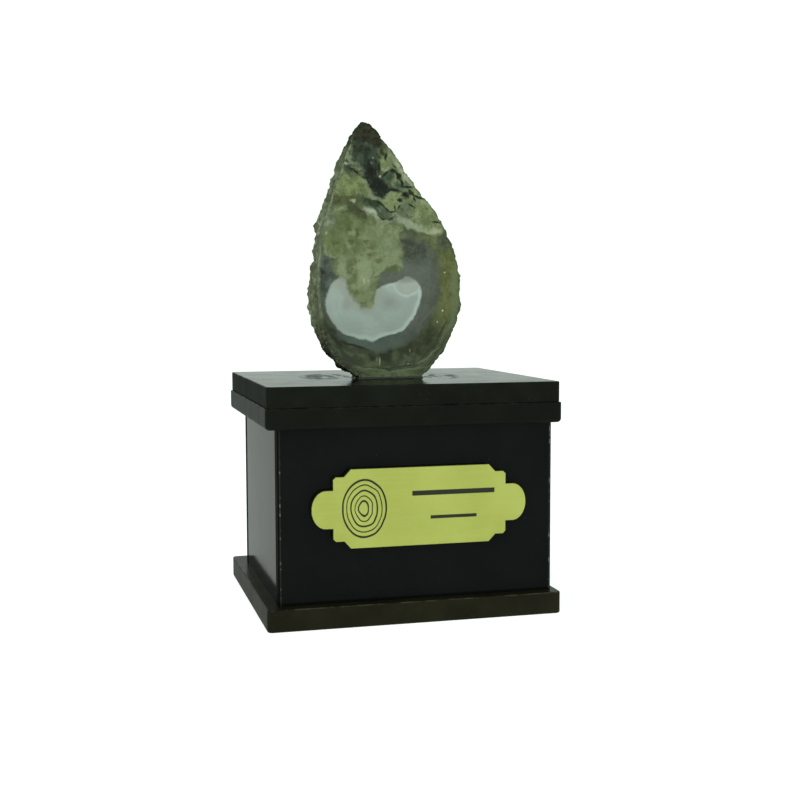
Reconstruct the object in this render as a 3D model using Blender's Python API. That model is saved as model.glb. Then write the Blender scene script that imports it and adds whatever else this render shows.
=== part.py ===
"""Polished half of an agate nodule, standing on a small black display stand.

Lengths are in metres, +Z is up and the front faces -Y. The origin is the middle of the underside of the base board.
Pieces that touch in the real object stop a hair short of each other here, so that every solid stays its own.
"""

import math

import bmesh
import bpy
from mathutils import Vector, noise

MM = 0.001

# The stand: boards, the height of the box between them, and how far the box stands in from the boards' edges.
WIDTH = 58.0 * MM
DEPTH = 51.5 * MM
BASE_THICK = 4.3 * MM
BODY_HEIGHT = 33.35 * MM
BOARD_THICK = 4.0 * MM
SHEET_THICK = 3.0 * MM
INSET_LEFT = 2.5 * MM
INSET_RIGHT = 1.3 * MM
INSET_FRONT = 2.5 * MM
INSET_BACK = 5.2 * MM
UPPER_BOARD_INSET = 0.3 * MM
GAP = 0.3 * MM

# Rounding of the boards' corners, of their upper and lower edges, and of the sheets' outer upright edges.
BOARD_CORNER = 1.0 * MM
SOFT_EDGE = 0.25 * MM
WORN_EDGE = 0.8 * MM
SHEET_EDGE = 0.45 * MM
CUT_EDGE = 0.05 * MM
CORNER_STEPS = 5
EDGE_STEPS = 3
SHARP_DEGREES = 40

# The name plate: its middle on the front panel, its half sizes, and the two steps at each corner.
PLATE_X = 0.7 * MM
PLATE_Z = 22.4 * MM
PLATE_THICK = 1.2 * MM
PLATE_HALF_HEIGHT = 7.5 * MM
PLATE_HALF_WIDTH = 21.1 * MM
PLATE_STRAIGHT = 13.6 * MM
PLATE_SHOULDER = (14.9 * MM, 6.1 * MM)
PLATE_STEP = (17.0 * MM, 5.6 * MM)
PLATE_END_HALF = 3.6 * MM
PLATE_END_CURVE = 2.7 * MM
PLATE_END_STEPS = 8

# The stone: where its polished face stands, its greatest depth behind that face, and the middle of its form,
# across and above the cap. Its belly closes in a full curve and its tip in a leaner one.
FACE_Y = -7.0 * MM
STONE_DEPTH = 19.0 * MM
STONE_MIDDLE = (-1.0 * MM, 17.0 * MM)
BELLY_FULLNESS = 2.7
TIP_FULLNESS = 1.5
TIP_START = 26.0 * MM
TIP_END = 46.0 * MM

# Behind the polished face the rind swells a little, most at the lower left, and the outline's bumps fade away.
SIDE_SWELL = 0.15 * MM
LOWER_LEFT_SWELL = 0.45 * MM
LOWER_LEFT = (-0.94, -0.34)
SWELL_DEPTH = 6.5 * MM
SOFT_REACH = 15
SOFT_DEPTH = 14.0 * MM

# How finely the stone is made: points round its rim, rings to its back, the size of its faces, and the length that
# is modelled in front of the polished face and cut away.
RIM_CURVE_STEPS = 20
RIM_POINTS = 120
DEPTH_STEPS = 20
EVEN_STEPS = 1.35
EVEN_FACE = 1.05 * MM
CUT_ALLOWANCE = 2.5 * MM

# Relief of the rind: broad lumps, round knobs and short level ledges, all lower near the polished face.
LUMP_SIZE = 9.0 * MM
LUMP_HEIGHT = 1.1 * MM
LUMP_START = (3.1, 0.4, 7.7)
KNOB_SIZE = 4.2 * MM
KNOB_HEIGHT = 0.7 * MM
KNOB_MEAN = 0.45
LEDGE_SIZE = 3.2 * MM
LEDGE_LENGTH = 9.6 * MM
LEDGE_HEIGHT = 0.3 * MM
LEDGE_WANDER = 2.0
FRONT_RELIEF = 0.35

# Rim of the polished face, in millimetres across and above the cap: from the tip down the left and up the right.
FACE_RIM = (
    (-5.8, 51.3), (-7.5, 49.7), (-9.3, 45.6), (-10.9, 41.3), (-12.2, 37.5), (-13.9, 32.4),
    (-15.0, 27.5), (-15.8, 21.5), (-15.6, 15.5), (-15.1, 10.4), (-13.2, 5.0), (-9.6, 1.5),
    (-5.4, -0.1), (-0.6, -0.6), (4.6, -0.1), (9.3, 3.6), (12.5, 9.4), (14.1, 15.9),
    (13.6, 22.8), (11.3, 28.4), (9.0, 33.0), (5.2, 37.9), (1.2, 43.2), (-2.6, 48.7),
)

BASE_TOP = BASE_THICK
CAP_UNDERSIDE = BASE_TOP + BODY_HEIGHT
CAP_SEAM = CAP_UNDERSIDE + BOARD_THICK
CAP_TOP = CAP_SEAM + BOARD_THICK
BODY_LEFT = -WIDTH / 2 + INSET_LEFT
BODY_RIGHT = WIDTH / 2 - INSET_RIGHT
BODY_FRONT = -DEPTH / 2 + INSET_FRONT
BODY_BACK = DEPTH / 2 - INSET_BACK
FOOT_Z = CAP_TOP + GAP


def material(name, colour, roughness, metallic=0.0):
    """A Principled material of one colour."""
    new = bpy.data.materials.new(name)
    new.use_nodes = True
    shader = new.node_tree.nodes["Principled BSDF"]
    shader.inputs["Base Color"].default_value = (*colour, 1.0)
    shader.inputs["Roughness"].default_value = roughness
    shader.inputs["Metallic"].default_value = metallic
    return new


def add_object(name, shape, surface):
    """The bmesh as an object at the origin, smooth except at its sharp edges."""
    mesh = bpy.data.meshes.new(name)
    shape.to_mesh(mesh)
    shape.free()
    mesh.shade_smooth()
    mesh.set_sharp_from_angle(angle=math.radians(SHARP_DEGREES))
    mesh.materials.append(surface)
    bpy.context.scene.collection.objects.link(bpy.data.objects.new(name, mesh))


def loft(rings, end_point=None):
    """A skin through rings of equally many points. Each end is a flat face, or the last end closes to a point."""
    shape = bmesh.new()
    rows = [[shape.verts.new(point) for point in ring] for ring in rings]
    count = len(rings[0])
    for near, far in zip(rows, rows[1:]):
        for i in range(count):
            shape.faces.new((near[i], near[(i + 1) % count], far[(i + 1) % count], far[i]))
    shape.faces.new(rows[0])
    last = rows[-1]
    if end_point is None:
        shape.faces.new(last)
    else:
        end = shape.verts.new(end_point)
        for i in range(count):
            shape.faces.new((last[i], last[(i + 1) % count], end))
    bmesh.ops.recalc_face_normals(shape, faces=shape.faces)
    return shape


def rounded_rectangle(left, right, front, back, front_radius, back_radius):
    """Corner points (x, y) of a rectangle, anticlockwise from above, with an arc at each corner."""
    corners = (
        (left + front_radius, front + front_radius, front_radius, 180),
        (right - front_radius, front + front_radius, front_radius, 270),
        (right - back_radius, back - back_radius, back_radius, 0),
        (left + back_radius, back - back_radius, back_radius, 90),
    )
    outline = []
    for middle_x, middle_y, radius, start in corners:
        for step in range(CORNER_STEPS + 1):
            angle = math.radians(start + 90 * step / CORNER_STEPS)
            outline.append((middle_x + radius * math.cos(angle), middle_y + radius * math.sin(angle)))
    return outline


def edge_profile(bottom, top, lower_radius, upper_radius):
    """Pairs of height and inset that round a board's lower and upper edges."""
    turns = [math.radians(90 * step / EDGE_STEPS) for step in range(EDGE_STEPS + 1)]
    lower = [(bottom + lower_radius * (1 - math.sin(a)), lower_radius * (1 - math.cos(a))) for a in reversed(turns)]
    upper = [(top - upper_radius * (1 - math.sin(a)), upper_radius * (1 - math.cos(a))) for a in turns]
    return lower + upper


def add_board(name, inset, bottom, top, lower_radius, upper_radius, surface):
    """A flat board centred on the stand, with rounded corners and eased edges."""
    rings = []
    for height, eased in edge_profile(bottom, top, lower_radius, upper_radius):
        half_width = WIDTH / 2 - inset - eased
        half_depth = DEPTH / 2 - inset - eased
        radius = BOARD_CORNER - eased
        outline = rounded_rectangle(-half_width, half_width, -half_depth, half_depth, radius, radius)
        rings.append([(x, y, height) for x, y in outline])
    add_object(name, loft(rings), surface)


def add_sheet(name, left, right, front, back, front_radius, back_radius, surface):
    """An upright sheet of the box, from the base board up to the cap."""
    bottom = BASE_TOP + GAP / 2
    top = CAP_UNDERSIDE - GAP / 2
    outline = rounded_rectangle(left, right, front, back, front_radius, back_radius)
    add_object(name, loft([[(x, y, z) for x, y in outline] for z in (bottom, top)]), surface)


def plate_quarter():
    """The plate's outline from its right end to the middle of its top, about the plate's own middle."""
    end_middle = PLATE_HALF_WIDTH - PLATE_END_CURVE
    points = []
    for step in range(PLATE_END_STEPS + 1):
        angle = math.radians(90 * step / PLATE_END_STEPS)
        points.append((end_middle + PLATE_END_CURVE * math.cos(angle), PLATE_END_HALF * math.sin(angle)))
    nick = PLATE_SHOULDER[1] - PLATE_STEP[1]
    points.append((PLATE_STEP[0], PLATE_END_HALF))
    points.append(PLATE_STEP)
    points.append((PLATE_STEP[0] - nick, PLATE_SHOULDER[1]))
    points.append(PLATE_SHOULDER)
    points.append((PLATE_STRAIGHT, PLATE_HALF_HEIGHT))
    return points


def add_name_plate(surface):
    """The thin plate on the front panel: one quarter of the outline, mirrored both ways, and given its thickness."""
    quarter = plate_quarter()
    upper = quarter + [(-x, z) for x, z in reversed(quarter)]
    outline = upper + [(x, -z) for x, z in reversed(upper[1:-1])]
    back = BODY_FRONT - GAP
    rings = [[(PLATE_X + x, y, PLATE_Z + z) for x, z in outline] for y in (back - PLATE_THICK, back)]
    add_object("name_plate", loft(rings), surface)


def smooth_rim(count):
    """Evenly spaced points (x, z) along a closed smooth curve through the rim's points, with z from the cap's top."""
    corners = [Vector(point) * MM for point in FACE_RIM]
    total = len(corners)
    fine = []
    for i in range(total):
        before, start, end, after = (corners[(i + k) % total] for k in (-1, 0, 1, 2))
        for step in range(RIM_CURVE_STEPS):
            t = step / RIM_CURVE_STEPS
            pull = (2 * before - 5 * start + 4 * end - after) * t * t
            turn = (3 * start - before - 3 * end + after) * t * t * t
            fine.append(start + ((end - before) * t + pull + turn) / 2)
    lengths = [0.0]
    for here, there in zip(fine, fine[1:] + fine[:1]):
        lengths.append(lengths[-1] + (there - here).length)
    rim = []
    spot = 0
    for k in range(count):
        along = lengths[-1] * k / count
        while lengths[spot + 1] < along:
            spot += 1
        share = (along - lengths[spot]) / (lengths[spot + 1] - lengths[spot])
        rim.append(fine[spot].lerp(fine[(spot + 1) % len(fine)], share))
    return rim


def smooth_step(value, start, end):
    """A smooth step from 0 at the start to 1 at the end."""
    share = min(1.0, max(0.0, (value - start) / (end - start)))
    return share * share * (3 - 2 * share)


def softened(rim):
    """The rim with every point drawn to the mean of its neighbours, which rounds its tip and its bumps away."""
    soft = []
    for i in range(len(rim)):
        total = Vector((0.0, 0.0))
        weights = 0.0
        for k in range(-SOFT_REACH, SOFT_REACH + 1):
            weight = 1 + math.cos(math.pi * k / (SOFT_REACH + 1))
            total += rim[(i + k) % len(rim)] * weight
            weights += weight
        soft.append(total / weights)
    return soft


def swell(direction, depth):
    """How far the rind stands out past the polished face's rim, most at the lower left and a little way back."""
    lower_left = max(0.0, direction.dot(Vector(LOWER_LEFT)))
    reach = SIDE_SWELL + (LOWER_LEFT_SWELL - SIDE_SWELL) * lower_left
    back = depth / SWELL_DEPTH
    return reach * back * math.exp(1 - back)


def relief(point):
    """Height of the rind's lumps, round knobs and short ledges at a point."""
    lumps = noise.noise(point / LUMP_SIZE + Vector(LUMP_START))
    nearest = noise.voronoi(point / KNOB_SIZE)[0][0]
    level = point.z / LEDGE_SIZE + LEDGE_WANDER * lumps
    ledges = 1 - 4 * abs(noise.noise(Vector((point.x / LEDGE_LENGTH, point.y / LEDGE_LENGTH, level))))
    return LUMP_HEIGHT * lumps + KNOB_HEIGHT * (KNOB_MEAN - nearest) + LEDGE_HEIGHT * ledges


def stone_rings(rim):
    """Rings of points from a little in front of the polished face to the back, where they close up."""
    middle = Vector(STONE_MIDDLE)
    soft = softened(rim)
    inward = []
    for i in range(len(rim)):
        along = rim[(i + 1) % len(rim)] - rim[i - 1]
        inward.append(Vector((-along.y, along.x)).normalized())
    rings = [[(spot, -CUT_ALLOWANCE) for spot in rim]]
    for step in range(DEPTH_STEPS):
        gone = (step / DEPTH_STEPS) ** EVEN_STEPS
        left = (1 - step / DEPTH_STEPS) ** EVEN_STEPS
        angle = math.pi / 2 * gone / (gone + left)
        ring = []
        for i, spot in enumerate(rim):
            lean = smooth_step(spot.y, TIP_START, TIP_END)
            fullness = BELLY_FULLNESS + (TIP_FULLNESS - BELLY_FULLNESS) * lean
            size = math.cos(angle) ** (2 / fullness)
            depth = STONE_DEPTH * math.sin(angle) ** (2 / fullness)
            outer = spot.lerp(soft[i], smooth_step(depth, 0.0, SOFT_DEPTH))
            place = middle + (outer - middle) * size - inward[i] * swell(-inward[i], depth) * size
            ring.append((place, depth))
        rings.append(ring)
    return [[Vector((p.x, FACE_Y + depth, CAP_TOP + p.y)) for p, depth in ring] for ring in rings]


def even_faces(shape):
    """The shape with faces of one even size, by a voxel Remesh."""
    mesh = bpy.data.meshes.new("rough_form")
    shape.to_mesh(mesh)
    shape.free()
    form = bpy.data.objects.new("rough_form", mesh)
    bpy.context.scene.collection.objects.link(form)
    remesh = form.modifiers.new("even faces", "REMESH")
    remesh.mode = "VOXEL"
    remesh.voxel_size = EVEN_FACE
    even = bmesh.new()
    even.from_object(form, bpy.context.evaluated_depsgraph_get())
    bpy.data.objects.remove(form, do_unlink=True)
    return even


def cut_flat(shape, point, direction):
    """Cut away what lies past a plane, and close the cut with one flat face."""
    everything = shape.verts[:] + shape.edges[:] + shape.faces[:]
    cut = bmesh.ops.bisect_plane(shape, geom=everything, plane_co=point, plane_no=direction, clear_outer=True)
    rim = [part for part in cut["geom_cut"] if isinstance(part, bmesh.types.BMEdge)]
    bmesh.ops.contextual_create(shape, geom=rim)


def add_stone(surface):
    """The half nodule: lumpy rind closed at the back, flat polished face, and a flat foot ground under it."""
    back_point = (STONE_MIDDLE[0], FACE_Y + STONE_DEPTH, CAP_TOP + STONE_MIDDLE[1])
    shape = even_faces(loft(stone_rings(smooth_rim(RIM_POINTS)), back_point))
    shape.normal_update()
    moves = []
    for vertex in shape.verts:
        strength = FRONT_RELIEF + (1 - FRONT_RELIEF) * smooth_step(vertex.co.y, FACE_Y, FACE_Y + SWELL_DEPTH)
        moves.append(vertex.normal * relief(vertex.co) * strength)
    for vertex, move in zip(shape.verts, moves):
        vertex.co += move
    cut_flat(shape, (0, FACE_Y, 0), (0, -1, 0))
    cut_flat(shape, (0, 0, FOOT_Z), (0, 0, -1))
    add_object("agate", shape, surface)


def main():
    for old in list(bpy.data.objects):
        bpy.data.objects.remove(old, do_unlink=True)

    cap_black = material("cap_black_lacquer", (0.012, 0.014, 0.012), 0.15)
    base_black = material("base_brown_black", (0.022, 0.021, 0.012), 0.35)
    sheet_black = material("black_acrylic_sheet", (0.008, 0.010, 0.009), 0.10)
    plate_gold = material("plate_pale_gold", (0.394, 0.481, 0.105), 0.35, 0.4)
    stone_green = material("agate_grey_green", (0.155, 0.204, 0.110), 0.25)

    half = GAP / 2
    add_board("base_board", 0.0, 0.0, BASE_TOP - half, WORN_EDGE / 2, SOFT_EDGE, base_black)
    add_board("cap_lower_board", 0.0, CAP_UNDERSIDE + half, CAP_SEAM - half, WORN_EDGE, SOFT_EDGE, cap_black)
    add_board("cap_upper_board", UPPER_BOARD_INSET, CAP_SEAM + half, CAP_TOP, SOFT_EDGE, SOFT_EDGE, cap_black)

    front_back = BODY_FRONT + SHEET_THICK
    back_front = BODY_BACK - SHEET_THICK
    sides = (front_back + GAP, back_front - GAP, CUT_EDGE, CUT_EDGE, sheet_black)
    add_sheet("front_panel", BODY_LEFT, BODY_RIGHT, BODY_FRONT, front_back, SHEET_EDGE, CUT_EDGE, sheet_black)
    add_sheet("back_panel", BODY_LEFT, BODY_RIGHT, back_front, BODY_BACK, CUT_EDGE, SHEET_EDGE, sheet_black)
    add_sheet("left_side_panel", BODY_LEFT, BODY_LEFT + SHEET_THICK, *sides)
    add_sheet("right_side_panel", BODY_RIGHT - SHEET_THICK, BODY_RIGHT, *sides)

    add_name_plate(plate_gold)
    add_stone(stone_green)


main()
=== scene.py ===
import math

import bmesh
import bpy
from mathutils import Matrix, Vector


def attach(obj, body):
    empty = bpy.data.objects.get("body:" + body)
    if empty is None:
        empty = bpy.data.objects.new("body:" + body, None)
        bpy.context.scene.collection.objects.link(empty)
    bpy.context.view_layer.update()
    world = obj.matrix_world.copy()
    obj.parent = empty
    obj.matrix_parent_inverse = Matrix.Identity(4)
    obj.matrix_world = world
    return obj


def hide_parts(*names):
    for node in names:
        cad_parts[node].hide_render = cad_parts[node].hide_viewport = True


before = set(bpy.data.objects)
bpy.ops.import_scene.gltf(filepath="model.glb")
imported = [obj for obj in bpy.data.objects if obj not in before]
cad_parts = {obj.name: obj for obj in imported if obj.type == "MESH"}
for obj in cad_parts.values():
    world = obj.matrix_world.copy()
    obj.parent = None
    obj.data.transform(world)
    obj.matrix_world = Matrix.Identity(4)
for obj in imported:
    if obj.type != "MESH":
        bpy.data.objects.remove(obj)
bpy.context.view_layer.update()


# The view: the lens is a little above the cap's level and turned to take in the stand's left side.
# Its place and turn come from fitting a camera to the corners of the stand in the photograph.
MM = 0.001
SENSOR_WIDTH = 36
FOCAL_LENGTH = 56.238
CAMERA_PLACE = Vector((-62.95, -251.15, 61.71)) * MM
view_yaw = math.radians(14.743)
view_pitch = math.radians(-4.642)
view_roll = math.radians(-0.166)
forward = Vector((
    math.sin(view_yaw) * math.cos(view_pitch),
    math.cos(view_yaw) * math.cos(view_pitch),
    math.sin(view_pitch),
))
level = Vector((math.cos(view_yaw), -math.sin(view_yaw), 0))
upright = level.cross(forward)
camera_right = level * math.cos(view_roll) + upright * math.sin(view_roll)
camera_up = upright * math.cos(view_roll) - level * math.sin(view_roll)
lens = bpy.data.cameras.new("photo_camera")
lens.sensor_width = SENSOR_WIDTH
lens.lens = FOCAL_LENGTH
lens.clip_start = 0.01
lens.clip_end = 20
camera = bpy.data.objects.new("photo_camera", lens)
bpy.context.scene.collection.objects.link(camera)
camera.matrix_world = Matrix.Translation(CAMERA_PLACE) @ Matrix(
    (camera_right, camera_up, -forward)
).transposed().to_4x4()
bpy.context.scene.camera = camera
bpy.context.scene.view_settings.view_transform = "Standard"


# The cap: two boards of fibreboard, glued together and lacquered black, the upper one polished on top.
# The upper board is a hair smaller, so a fine step runs round between them. The lower edges are well rounded.
BASE_TOP = 4.3 * MM
CAP_UNDERSIDE = 37.65 * MM
CAP_SEAM = 41.65 * MM
CAP_TOP = 45.65 * MM
HALF_WIDTH = 29.0 * MM
HALF_DEPTH = 25.75 * MM
STEP_IN = 0.3 * MM
CORNER_ROUND = 1.0 * MM
EASED_EDGE = 0.25 * MM


def start_cube(name, low, high):
    """A cube stretched from its lowest to its highest corner, ready to be shaped."""
    bpy.ops.object.select_all(action="DESELECT")
    bpy.ops.mesh.primitive_cube_add(size=1, location=(low + high) / 2, scale=high - low)
    piece = bpy.context.object
    piece.name = name
    piece.data.name = name
    bpy.ops.object.transform_apply(location=True, rotation=True, scale=True)
    return piece


def bevel_edges(piece, chosen, width, steps):
    """Round over those edges of a piece that the given test picks."""
    bpy.ops.object.mode_set(mode="EDIT")
    bpy.ops.mesh.select_mode(type="EDGE")
    bpy.ops.mesh.select_all(action="DESELECT")
    shape = bmesh.from_edit_mesh(piece.data)
    for edge in shape.edges:
        edge.select_set(chosen(edge.verts[0].co, edge.verts[1].co))
    bmesh.update_edit_mesh(piece.data)
    bpy.ops.mesh.bevel(offset=width, segments=steps, affect="EDGES")
    bpy.ops.object.mode_set(mode="OBJECT")


def close(first, second):
    """True if two lengths are the same but for rounding."""
    return abs(first - second) < 0.001 * MM


def upright_edge(a, b):
    """True for an edge that stands straight up."""
    return close(a.x, b.x) and close(a.y, b.y)


def at_level(height):
    """A test for the edges that lie at one height."""
    return lambda a, b: close(a.z, height) and close(b.z, height)


def shade_rounds(piece, angle):
    """Shade the rounded edges smooth and keep the large faces between them flat."""
    bpy.ops.object.shade_smooth_by_angle(angle=math.radians(angle))
    flat = piece.modifiers.new("flat faces", "WEIGHTED_NORMAL")
    flat.keep_sharp = True
    bpy.ops.object.modifier_apply(modifier=flat.name)


def fill(tree, node, inputs):
    """Fill a node's inputs from plain values, or wire them from other nodes."""
    for slot, value in inputs.items():
        if isinstance(value, bpy.types.NodeSocket):
            tree.links.new(value, node.inputs[slot])
        else:
            node.inputs[slot].default_value = value


def add_node(tree, kind, inputs=None, **settings):
    """A shader node with its inputs filled."""
    made = tree.nodes.new("ShaderNode" + kind)
    for name, value in settings.items():
        setattr(made, name, value)
    fill(tree, made, inputs or {})
    return made


def new_finish(name):
    """A material with its node tree and its Principled shader."""
    finish = bpy.data.materials.new(name)
    finish.use_nodes = True
    return finish, finish.node_tree, finish.node_tree.nodes["Principled BSDF"]


def shade(red, green, blue):
    """A colour as it is seen on a screen, 0 to 255, turned into light."""
    parts = (red, green, blue)
    return tuple(((c / 255 + 0.055) / 1.055) ** 2.4 if c > 10 else c / 3294 for c in parts) + (1.0,)


def millimetres(tree, height=0.0):
    """The place on the object in millimetres, with its height from the given level."""
    where = add_node(tree, "TexCoord").outputs["Object"]
    return add_node(
        tree, "Mapping", {"Vector": where, "Location": (0, 0, -height / MM), "Scale": (1000, 1000, 1000)}
    ).outputs[0]


def sums(tree, operation, first, second=0.0, third=0.0):
    """One step of arithmetic."""
    return add_node(tree, "Math", {0: first, 1: second, 2: third}, operation=operation).outputs[0]


def times(tree, first, second):
    """One value multiplied by another."""
    return sums(tree, "MULTIPLY", first, second)


def plus(tree, first, second):
    """One value added to another."""
    return sums(tree, "ADD", first, second)


def minus(tree, first, second):
    """One value taken from another."""
    return sums(tree, "SUBTRACT", first, second)


def cloud(tree, place, size, detail=3.0, roughness=0.55, stretch=(1, 1, 1)):
    """A cloudy pattern from 0 to 1 whose lumps are about the given number of millimetres across."""
    scale = tuple(share / size for share in stretch)
    stretched = add_node(tree, "Mapping", {"Vector": place, "Scale": scale}).outputs[0]
    return add_node(
        tree, "TexNoise", {"Vector": stretched, "Scale": 1.0, "Detail": detail, "Roughness": roughness}
    ).outputs[0]


def between(tree, value, low, high, to_low=0.0, to_high=1.0):
    """A smooth step of a value from one limit to the other."""
    return add_node(
        tree,
        "MapRange",
        {"Value": value, "From Min": low, "From Max": high, "To Min": to_low, "To Max": to_high},
        interpolation_type="SMOOTHSTEP",
    ).outputs[0]


def lay_over(tree, share, under, over):
    """One colour laid over another by a share from 0 to 1."""
    return add_node(tree, "Mix", {0: share, 6: under, 7: over}, data_type="RGBA").outputs[2]


def bump(tree, height, depth, under=None):
    """A relief of the given depth in millimetres."""
    inputs = {"Height": height, "Distance": depth * MM, "Strength": 1.0}
    if under is not None:
        inputs["Normal"] = under
    return add_node(tree, "Bump", inputs).outputs[0]


def edge_distance(tree, place, low, high):
    """How far in millimetres a point of a box's surface is from the nearest of the box's edges."""
    split = add_node(tree, "SeparateXYZ", {0: place}).outputs
    gaps = []
    for axis in range(3):
        from_low = minus(tree, split[axis], low[axis] / MM)
        from_high = minus(tree, high[axis] / MM, split[axis])
        gaps.append(sums(tree, "MINIMUM", from_low, from_high))
    lesser = sums(tree, "MINIMUM", gaps[0], gaps[1])
    greater = sums(tree, "MAXIMUM", gaps[0], gaps[1])
    return sums(tree, "MAXIMUM", lesser, sums(tree, "MINIMUM", greater, gaps[2]))


def lacquer_finish(name, low, high, body, worn, dust, top_roughness, wear, gloss, smudges=()):
    """Lacquer on fibreboard: smoother on top than on its sides, with scratches, dust and rubbed edges.

    Each smudge is given by its place across and along, and half its width.
    """
    finish, tree, shader = new_finish(name)
    place = millimetres(tree)
    blotch = cloud(tree, place, 7.0, 3.0)
    colour = lay_over(tree, between(tree, blotch, 0.35, 0.7), shade(*body), shade(*[c * 1.25 for c in body]))
    edge = edge_distance(tree, place, low, high)
    patchy = cloud(tree, place, 2.6, 5.0, 0.7)
    rubbed = times(tree, between(tree, edge, 0.30, 0.02), between(tree, patchy, 0.42, 0.62))
    colour = lay_over(tree, times(tree, rubbed, wear), colour, shade(*worn))
    grains = add_node(tree, "TexVoronoi", {"Vector": place, "Scale": 1.6}).outputs["Distance"]
    settled = between(tree, cloud(tree, place, 5.0, 2.0), 0.56, 0.66)
    dusty = times(tree, between(tree, grains, 0.11, 0.05), settled)
    colour = lay_over(tree, times(tree, dusty, 0.4), colour, shade(*dust))
    patches = cloud(tree, place, 6.0, 4.0, 0.6, (1.0, 1.6, 1.0))
    smear = between(tree, patches, 0.35, 0.68, top_roughness, top_roughness + 0.05)
    height = add_node(tree, "SeparateXYZ", {0: place}).outputs[2]
    on_side = between(tree, height, high.z / MM - 0.02, high.z / MM - 0.25)
    rough = plus(tree, smear, times(tree, rubbed, 0.3))
    rough = plus(tree, rough, times(tree, on_side, 0.50 - top_roughness))
    wisps = between(tree, cloud(tree, place, 2.2, 4.0, 0.65, (1.0, 0.4, 1.0)), 0.44, 0.58)
    for across, along, half_width in smudges:
        spot = add_node(
            tree,
            "Mapping",
            {
                "Vector": place,
                "Location": (across, along, high.z / MM),
                "Rotation": (0, 0, math.radians(-10)),
                "Scale": (half_width, 12.0, 1000),
            },
            vector_type="TEXTURE",
        ).outputs[0]
        nearness = add_node(tree, "TexGradient", {"Vector": spot}, gradient_type="SPHERICAL").outputs["Fac"]
        smudge = times(tree, between(tree, nearness, 0.0, 0.4), wisps)
        rough = plus(tree, rough, times(tree, smudge, 0.17))
    rough = plus(tree, rough, times(tree, dusty, 0.3))
    scratch = cloud(tree, place, 0.9, 2.0, 0.6, (0.06, 1.8, 1.0))
    relief = bump(tree, between(tree, scratch, 0.68, 0.76), 0.0005)
    relief = bump(tree, cloud(tree, place, 1.8, 2.0), 0.0012, relief)
    inputs = {"Base Color": colour, "Roughness": rough, "Normal": relief, "Specular IOR Level": gloss}
    fill(tree, shader, inputs)
    return finish


def put_on(piece, finish, node):
    """Give a finished piece its material, and let it stand for its solid."""
    piece.data.materials.clear()
    piece.data.materials.append(finish)
    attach(piece, "root")
    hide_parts(node)


def lacquered_board(name, low, high, lower_round, node, slot, finish_name, **looks):
    """A sawn board with rounded corners and eased edges, lacquered and put in its place."""
    board = start_cube(name, low, high)
    bevel_edges(board, upright_edge, CORNER_ROUND, 6)
    bevel_edges(board, at_level(low.z), lower_round, 5)
    bevel_edges(board, at_level(high.z), EASED_EDGE, 4)
    shade_rounds(board, 30)
    put_on(board, lacquer_finish(finish_name, low, high, **looks), node)


lacquered_board(
    "cap_upper",
    Vector((STEP_IN - HALF_WIDTH, STEP_IN - HALF_DEPTH, CAP_SEAM)),
    Vector((HALF_WIDTH - STEP_IN, HALF_DEPTH - STEP_IN, CAP_TOP)),
    lower_round=0.2 * MM,
    node="cap_upper_board",
    slot="cap_lacquer",
    finish_name="cap top lacquer",
    body=(21, 23, 19),
    worn=(60, 66, 56),
    dust=(120, 128, 118),
    top_roughness=0.10,
    wear=0.35,
    gloss=0.0025,
    smudges=((-11.9, 2.0, 6.5), (10.8, -2.5, 4.8)),
)
lacquered_board(
    "cap_lower",
    Vector((-HALF_WIDTH, -HALF_DEPTH, CAP_UNDERSIDE)),
    Vector((HALF_WIDTH, HALF_DEPTH, CAP_SEAM)),
    lower_round=0.8 * MM,
    node="cap_lower_board",
    slot="cap_lacquer",
    finish_name="cap edge lacquer",
    body=(16, 18, 14),
    worn=(52, 58, 50),
    dust=(96, 102, 92),
    top_roughness=0.30,
    wear=0.5,
    gloss=0.03,
)


# The base: one board of the same fibreboard under the box, with a thinner, browner coat of lacquer.
# Its edges are rubbed pale, and a little dust lies on it.
lacquered_board(
    "base",
    Vector((-HALF_WIDTH, -HALF_DEPTH, 0.0)),
    Vector((HALF_WIDTH, HALF_DEPTH, BASE_TOP)),
    lower_round=0.4 * MM,
    node="base_board",
    slot="base_lacquer",
    finish_name="base lacquer",
    body=(27, 26, 17),
    worn=(74, 74, 56),
    dust=(110, 112, 92),
    top_roughness=0.30,
    wear=0.8,
    gloss=0.03,
)


# The box: four sheets of black acrylic with polished faces and sawn edges, glued at the corners.
# The front and back sheets lie over the ends of the two side sheets, and their own ends show at the sides.
BOX_LEFT = -26.5 * MM
BOX_RIGHT = 27.7 * MM
BOX_FRONT = -23.25 * MM
BOX_BACK = 20.55 * MM
SHEET = 3.0 * MM
ROUNDED_ARRIS = 0.42 * MM
CRISP_ARRIS = 0.05 * MM


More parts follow.
